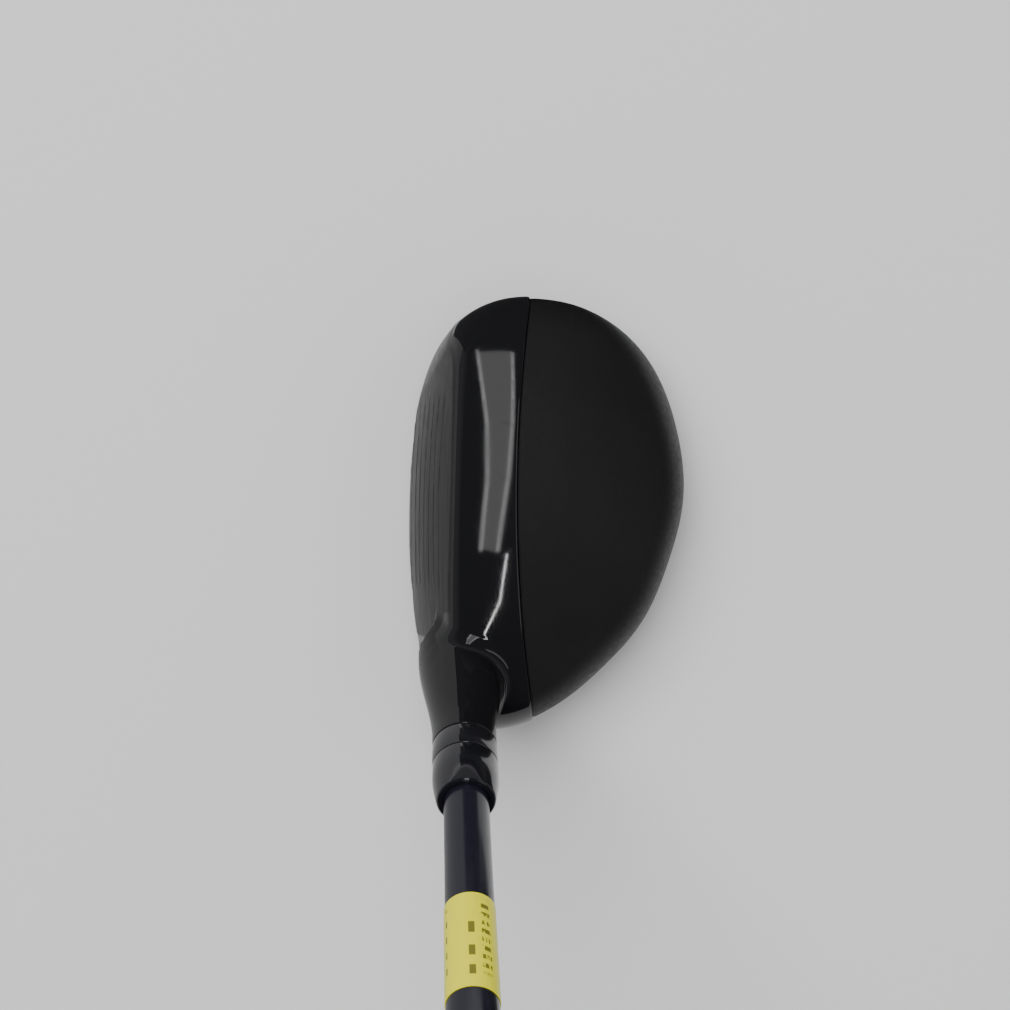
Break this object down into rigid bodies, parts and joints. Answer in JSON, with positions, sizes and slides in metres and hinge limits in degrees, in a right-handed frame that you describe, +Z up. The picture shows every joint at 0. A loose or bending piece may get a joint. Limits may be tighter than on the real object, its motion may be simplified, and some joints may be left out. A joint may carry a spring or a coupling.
{
  "type": "hybrid golf club",
  "caption": "Right-handed hybrid golf club: hollow head with lofted face, bonded crown panel, adjustable hosel, tapered shaft and rubber grip.",
  "frame": {"origin": "middle of the small flat pad on the sole, where the head rests at address", "axes": "+X from the face to the back of the head, +Y from heel to toe, +Z up; the shaft rises towards -Y at the lie angle"},
  "size_m": [0.0676, 0.6093, 0.8825],
  "materials": {
    "satin_face": "fine satin, dark, with heel to toe grooves",
    "polished_black": "deep gloss black",
    "matte_black": "fine matte black",
    "bond_film": "cured film",
    "dense_alloy": "sintered grey",
    "badge_metal": "brushed, plain",
    "anodised_black": "glossy black anodised",
    "sleeve_metal": "machined",
    "epoxy": "cured resin",
    "ferrule_black": "turned and polished black",
    "shaft_lacquer": "black lacquer over carbon",
    "plug_plastic": "plain",
    "label_paper": "coated yellow paper with plain print",
    "tape": "masking tape",
    "grip_rubber": "moulded with a fine pattern",
    "cap_rubber": "smooth moulded",
    "screw_steel": "black oxide",
    "washer_steel": "plain",
    "weight_steel": "satin"
  },
  "bodies": {
    "head": {"head_body": "polished_black", "face_insert": "satin_face", "crown_panel": "matte_black", "crown_adhesive": "bond_film", "inner_weight": "dense_alloy", "sole_badge": "badge_metal"},
    "shaft_assembly": {"adjusting_ring": "anodised_black", "sleeve": "sleeve_metal", "shaft_epoxy": "epoxy", "ferrule": "ferrule_black", "shaft": "shaft_lacquer", "tip_plug": "plug_plastic", "price_sticker": "label_paper", "grip_tape": "tape", "grip": "grip_rubber", "grip_cap": "cap_rubber"},
    "hosel_screw_carrier": {"screw_washer": "washer_steel"},
    "hosel_screw": {"hosel_screw": "screw_steel"},
    "sole_weight_carrier": {"weight_washer": "washer_steel"},
    "sole_weight": {"sole_weight": "weight_steel"}
  },
  "joints": [
    {"name": "shaft_lift", "type": "slide", "parent": "head", "child": "shaft_assembly", "axis": [0, -0.515, 0.8572], "range_m": [0, 0.04]},
    {"name": "hosel_screw_out", "type": "slide", "parent": "head", "child": "hosel_screw_carrier", "axis": [0, 0.515, -0.8572], "range_m": [0, 0.0105]},
    {"name": "hosel_screw_turn", "type": "hinge", "parent": "hosel_screw_carrier", "child": "hosel_screw", "pos_m": [-0.0112, -0.02993, 0.01286], "axis": [0, 0.515, -0.8572], "range_deg": [0, 4726]},
    {"name": "weight_out", "type": "slide", "parent": "head", "child": "sole_weight_carrier", "axis": [0.2486, 0, -0.9686], "range_m": [0, 0.008]},
    {"name": "weight_turn", "type": "hinge", "parent": "sole_weight_carrier", "child": "sole_weight", "pos_m": [0.025, 0, 0.00337], "axis": [0.2486, 0, -0.9686], "range_deg": [0, 2881]}
  ],
  "couplings": [
    {"joint": "hosel_screw_turn", "follows": "hosel_screw_out", "rad_per_m": 7854},
    {"joint": "weight_turn", "follows": "weight_out", "rad_per_m": 6283.2}
  ]
}
